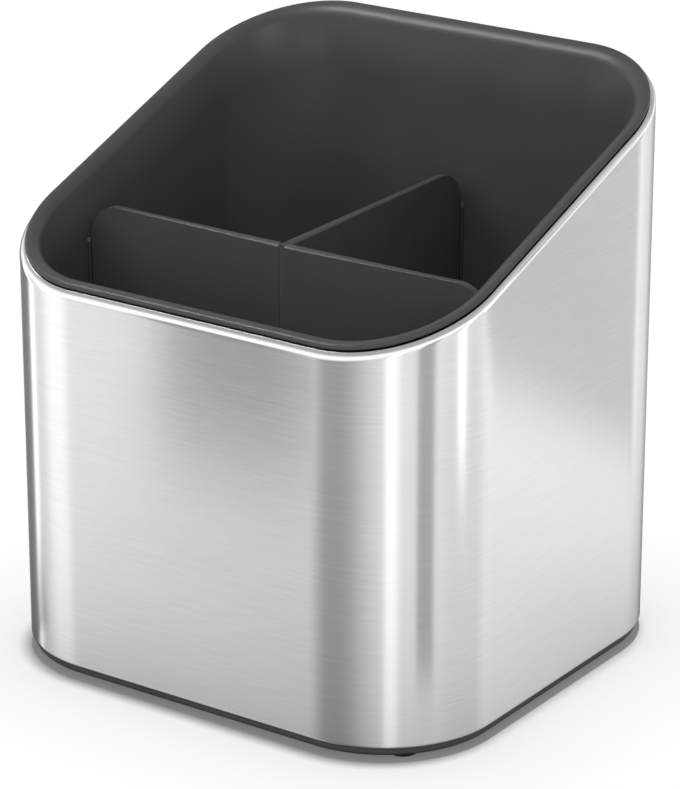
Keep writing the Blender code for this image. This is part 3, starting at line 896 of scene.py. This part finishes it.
def buildWorld():
    world = bpy.data.worlds.new("studioWorld")
    bpy.context.scene.world = world
    world.use_nodes = True
    tree = world.node_tree
    nodes, link = tree.nodes, tree.links.new
    nodes.clear()

    def value(operation, first, second=0.0, third=0.0):
        node = nodes.new("ShaderNodeMath")
        node.operation = operation
        for socket, item in zip(node.inputs, (first, second, third)):
            if isinstance(item, bpy.types.NodeSocket):
                link(item, socket)
            else:
                socket.default_value = item
        return node.outputs["Value"]

    def fade(source, start, end):
        node = nodes.new("ShaderNodeMapRange")
        node.interpolation_type = "SMOOTHSTEP"
        link(source, node.inputs["Value"])
        node.inputs["From Min"].default_value = start
        node.inputs["From Max"].default_value = end
        return node.outputs["Result"]

    def mix(factor, first, second):
        node = nodes.new("ShaderNodeMix")
        link(factor, node.inputs["Factor"])
        # sockets 2 and 3 of a mix node are its plain values, and output 0 is the mixed one
        for socket, item in ((node.inputs[2], first), (node.inputs[3], second)):
            if isinstance(item, bpy.types.NodeSocket):
                link(item, socket)
            else:
                socket.default_value = item
        return node.outputs[0]

    direction = nodes.new("ShaderNodeTexCoord").outputs["Generated"]
    axes = nodes.new("ShaderNodeSeparateXYZ")
    link(direction, axes.inputs["Vector"])
    azimuth = value("DEGREES", value("ARCTAN2", axes.outputs["Y"], axes.outputs["X"]))
    elevation = value("DEGREES", value("ARCSINE", axes.outputs["Z"]))
    level = studio["plainLevel"]
    for board in boards:
        centre = (board["from"] + board["to"]) / 2
        half = (board["to"] - board["from"]) / 2
        turned = value("WRAP", value("SUBTRACT", azimuth, centre), 180.0, -180.0)
        rise = fade(turned, -half - board["fadeIn"], -half)
        fall = fade(turned, half + board["fadeOut"], half)
        level = mix(value("MULTIPLY", rise, fall), level, board["level"])
    back = value("COSINE", value("RADIANS", value("SUBTRACT", azimuth, studio["darkBack"])))
    aside = fade(back, *(math.cos(math.radians(span)) for span in studio["darkBackSpans"]))
    rise = value("MULTIPLY", fade(elevation, *studio["horizonRises"]), aside)
    level = mix(rise, level, studio["horizonLevel"])
    behind = value("COSINE", value("RADIANS", value("SUBTRACT", azimuth, studio["ceilingLow"])))
    leaning = value("ADD", elevation, value("MULTIPLY", behind, studio["ceilingLean"]))
    level = mix(fade(leaning, *studio["ceilingStarts"]), level, studio["ceilingLevel"])
    rays = nodes.new("ShaderNodeLightPath")
    level = mix(rays.outputs["Is Glossy Ray"], studio["fillLevel"], level)
    level = mix(rays.outputs["Is Camera Ray"], level, studio["backdropLevel"])
    background = nodes.new("ShaderNodeBackground")
    background.inputs["Color"].default_value = (1.0, 1.0, 1.0, 1.0)
    link(level, background.inputs["Strength"])
    link(background.outputs["Background"], nodes.new("ShaderNodeOutputWorld").inputs["Surface"])


buildWorld()

floorLook = {
    "size": 8.0,
    "colour": (0.123, 0.113),      # far from the body, and close to it as a darker painted shade; its own sun makes it white
    "paintedShadeReach": 0.045,
    "glow": (0.280, 0.165),        # for camera rays, in the same order; the lower one close to the body is a painted shadow
    "paintedShadowReach": 0.016,
}


def onlyInReflections(thing):
    thing.visible_camera = False
    thing.visible_diffuse = False
    thing.visible_transmission = False
    thing.visible_volume_scatter = False
    thing.visible_shadow = False


def flatSheet(name, size):
    bm = bmesh.new()
    bmesh.ops.create_grid(bm, x_segments=1, y_segments=1, size=size / 2)
    return newPiece(name, bm)


def buildFloor():
    floor = flatSheet("floor", floorLook["size"])
    shade = Shade("paleFloor")
    nodes, link = shade.tree.nodes, shade.tree.links.new
    nodes.remove(shade.shader)
    diffuse = nodes.new("ShaderNodeBsdfDiffuse")
    # painted shade: the floor's colour is darker close to the body
    grey = shade.spread(shade.nearBody(floorLook["paintedShadeReach"]), *floorLook["colour"])
    link(grey, diffuse.inputs["Color"])
    glow = nodes.new("ShaderNodeEmission")
    seen = nodes.new("ShaderNodeLightPath").outputs["Is Camera Ray"]
    # painted shadow: the glow for camera rays is lower close to the body
    level = shade.spread(shade.nearBody(floorLook["paintedShadowReach"]), *floorLook["glow"])
    link(shade.math("MULTIPLY", seen, level), glow.inputs["Strength"])
    total = nodes.new("ShaderNodeAddShader")
    link(diffuse.outputs["BSDF"], total.inputs[0])
    link(glow.outputs["Emission"], total.inputs[1])
    link(total.outputs["Shader"], nodes["Material Output"].inputs["Surface"])
    floor.data.materials.append(shade.material)
    floor.visible_glossy = False
    return floor


floorSheet = buildFloor()

# a clear sheet on the floor that only reflections meet: painted shade that darkens them close to the
# body, where its shadow lies
nearFloor = {
    "size": 1.2,
    "darkest": 0.57,
    "reach": 0.070,
    "contactDarkest": 0.20,
    "contactReach": 0.0018,
    "height": 0.0001,
}


def buildNearFloor():
    sheet = flatSheet("nearFloorShade", nearFloor["size"])
    sheet.data.transform(Matrix.Translation((0, 0, nearFloor["height"])))
    shade = Shade("nearFloorShade")
    nodes, link = shade.tree.nodes, shade.tree.links.new
    nodes.remove(shade.shader)
    near = shade.nearBody(nearFloor["reach"])
    touching = shade.nearBody(nearFloor["contactReach"])
    grey = shade.spread(near, 1.0, nearFloor["darkest"])
    grey = shade.math("MULTIPLY", grey, shade.spread(touching, 1.0, nearFloor["contactDarkest"]))
    clear = nodes.new("ShaderNodeBsdfTransparent")
    link(grey, clear.inputs["Color"])
    link(clear.outputs["BSDF"], nodes["Material Output"].inputs["Surface"])
    sheet.data.materials.append(shade.material)
    onlyInReflections(sheet)


buildNearFloor()

# cards beside the body; level is a brightness for a light card and a share let through for a dark one
cards = [
    {
        "name": "keyCard", "light": True, "level": 58.0, "only": "plastics",
        "corner": (-0.540, -0.264, 0.6495), "along": (0.340, 0.0, 0.0), "up": (0.0, 0.132, 0.047),
        "fade": (0.2, 0.2, 0.2, 0.2),
    },
    {
        "name": "frontCard", "light": True, "level": 4.0, "only": "plastics",
        "corner": (-0.200, -1.000, 0.020), "along": (0.620, 0.0, 0.0), "up": (0.0, 0.0, 0.300),
        "fade": (0.3, 0.3, 0.3, 0.3),
    },
    {
        "name": "cornerCard", "light": True, "level": 11.0, "only": "plastics",
        "corner": (0.640, -0.740, 0.300), "along": (0.300, 0.340, 0.0), "up": (0.0, 0.0, 0.330),
        "fade": (0.3, 0.3, 0.3, 0.3),
    },
    {
        "name": "rimLowCard", "light": True, "level": 0.90, "only": "steel",
        "corner": (1.030, 0.376, -0.020), "along": (-0.325, 0.466, 0.0), "up": (0.0, 0.0, 0.500),
        "fade": (0.25, 0.25, 0.15, 0.35),
    },
    {
        "name": "rimHighCard", "light": True, "level": 0.27, "only": "steel",
        "corner": (1.100, 0.277, 0.389), "along": (-0.579, 0.689, 0.0), "up": (-0.542, -0.455, 0.707),
        "fade": (0.25, 0.25, 0.30, 0.45),
    },
    {
        "name": "topStrip", "light": True, "level": 9.0, "only": "steel",
        "corner": (-0.210, -0.018, 0.262), "along": (0.220, 0.0, 0.0), "up": (0.0, 0.056, 0.0),
        "fade": (0.15, 0.15, 0.2, 0.2),
    },
    {
        "name": "frontFlag", "light": False, "level": 0.455, "tint": (1.0, 0.987, 1.035),
        "corner": (-0.096, -0.165, 0.003), "along": (0.081, 0.0, 0.0), "up": (0.0, 0.0, 0.130),
        "fade": (0.24, 0.42, 0.34, 0.05),
    },
    {
        "name": "rightFlag", "light": False, "level": 0.60, "tint": (1.0, 1.0, 1.005),
        "corner": (0.150, 0.030, 0.0656), "along": (0.0, 0.195, -0.1082), "up": (0.0, 0.0, 0.150),
        "fade": (0.04, 0.20, 0.14, 0.05),
    },
    {
        "name": "cornerFlag", "light": False, "level": 0.50, "tint": (1.0, 0.987, 1.035),
        "corner": (0.1150, -0.0850, -0.006), "along": (0.0090, 0.0250, 0.0), "up": (0.0, 0.0, 0.130),
        "fade": (0.22, 0.24, 0.03, 0.05),
    },
    {
        "name": "slitFlag", "light": False, "level": 0.58, "tint": (1.0, 1.0, 1.0),
        "corner": (-0.165, -0.0715, 0.001), "along": (0.098, 0.0, 0.0), "up": (0.0, 0.0175, 0.0),
        "fade": (0.75, 0.10, 0.35, 0.35),
    },
    {
        "name": "rightStrip", "light": True, "level": 0.78, "only": "steel",
        "corner": (0.1680, -0.0300, 0.022), "along": (-0.0060, 0.0240, 0.0), "up": (0.0, 0.0, 0.120),
        "fade": (0.35, 0.35, 0.25, 0.05),
    },
]


def buildCard(card):
    corner, along, up = (Vector(card[key]) for key in ("corner", "along", "up"))
    mesh = bpy.data.meshes.new(card["name"])
    mesh.from_pydata([corner, corner + along, corner + along + up, corner + up], [], [(0, 1, 2, 3)])
    uv = mesh.uv_layers.new(name="UVMap")
    for loop, place in zip(uv.data, ((0, 0), (1, 0), (1, 1), (0, 1))):
        loop.uv = place
    sheet = newObject(card["name"], mesh)
    shade = Shade(card["name"])
    nodes, link = shade.tree.nodes, shade.tree.links.new
    nodes.remove(shade.shader)
    axes = shade.axes(nodes.new("ShaderNodeUVMap").outputs["UV"])
    left, right, bottom, top = card["fade"]
    mask = 1.0
    for axis, start, end in (("X", 0, left), ("X", 1, 1 - right), ("Y", 0, bottom), ("Y", 1, 1 - top)):
        mask = shade.math("MULTIPLY", mask, shade.spread(axes[axis], 0.0, 1.0, start, end, smooth=True))
    clear = nodes.new("ShaderNodeBsdfTransparent")
    surface = clear.outputs["BSDF"]
    if card["light"]:
        # the glow is added to a clear sheet, so the pieces it isn't for see through it
        glow = nodes.new("ShaderNodeEmission")
        link(shade.math("MULTIPLY", mask, card["level"]), glow.inputs["Strength"])
        total = nodes.new("ShaderNodeAddShader")
        link(surface, total.inputs[0])
        link(glow.outputs["Emission"], total.inputs[1])
        surface = total.outputs["Shader"]
    else:
        dark = tuple(card["level"] * channel for channel in card["tint"])
        link(shade.tint(mask, (1.0, 1.0, 1.0), dark), clear.inputs["Color"])
    link(surface, nodes["Material Output"].inputs["Surface"])
    mesh.materials.append(shade.material)
    onlyInReflections(sheet)
    if card["light"]:
        sheet.light_linking.receiver_collection = cardViewers[card["only"]]


# the steel and the plastics each have light cards of their own
steelPieces = {"steelSleeve"}
plasticPieces = {"baseTray", "snapHooks", "rubberFeet", "linerShell", "guideRibsSide", "guideRibsBack"}
plasticPieces |= {"crossPanel", "rearPanel"}
cardViewers = {}
for viewer, names in (("steel", steelPieces), ("plastics", plasticPieces)):
    cardViewers[viewer] = bpy.data.collections.new(viewer + "Cards")
    for name in sorted(names):
        cardViewers[viewer].objects.link(bpy.data.objects[name])
for card in cards:
    buildCard(card)
print("floor and cards ready")

# soft lamps for the moulded parts, and a steep one that draws the shadow on the floor
lamps = [
    {"name": "frontSoftbox", "place": (0.42, -1.02, 1.42), "size": 0.9, "watts": 3.5},
    {"name": "leftSoftbox", "place": (-0.90, -0.90, 1.30), "size": 0.9, "watts": 5.2},
]
lampAim = Vector((0, 0, 0.1))        # a point inside the pot
floorSun = {
    "strength": 16.2,
    "spread": 3.0,               # degrees
    "from": (-0.0005, 0.0192, 1.0),
}


def buildLamps():
    notTheFloor = bpy.data.collections.new("notTheFloor")
    notTheFloor.objects.link(floorSheet)
    notTheFloor.collection_objects[0].light_linking.link_state = "EXCLUDE"
    onlyTheFloor = bpy.data.collections.new("onlyTheFloor")
    onlyTheFloor.objects.link(floorSheet)
    for lamp in lamps:
        light = bpy.data.lights.new(lamp["name"], "AREA")
        light.shape = "SQUARE"
        light.size = lamp["size"]
        light.energy = lamp["watts"]
        rig = newObject(lamp["name"], light)
        rig.location = lamp["place"]
        facing = lampAim - Vector(lamp["place"])
        rig.rotation_euler = facing.to_track_quat("-Z", "Y").to_euler()
        rig.visible_glossy = False
        rig.light_linking.receiver_collection = notTheFloor
    sun = bpy.data.lights.new("floorSun", "SUN")
    sun.energy = floorSun["strength"]
    sun.angle = math.radians(floorSun["spread"])
    rig = newObject("floorSun", sun)
    rig.rotation_euler = (-Vector(floorSun["from"])).to_track_quat("-Z", "Y").to_euler()
    rig.visible_glossy = False
    rig.light_linking.receiver_collection = onlyTheFloor


buildLamps()

camera = {
    "place": (0.51501, -0.73463, 0.40320),
    "forward": (-0.53707, 0.76745, -0.35010),
    "lens": 165.87,
    "sensor": 36.0,
    "clip": (0.01, 50.0),
}


def buildCamera():
    data = bpy.data.cameras.new("photoCamera")
    data.lens = camera["lens"]
    data.sensor_width = camera["sensor"]
    data.clip_start, data.clip_end = camera["clip"]
    rig = newObject("photoCamera", data)
    rig.location = camera["place"]
    rig.rotation_euler = Vector(camera["forward"]).to_track_quat("-Z", "Y").to_euler()
    bpy.context.scene.camera = rig


buildCamera()
bpy.context.scene.view_settings.view_transform = "Standard"
print("studio and camera ready")
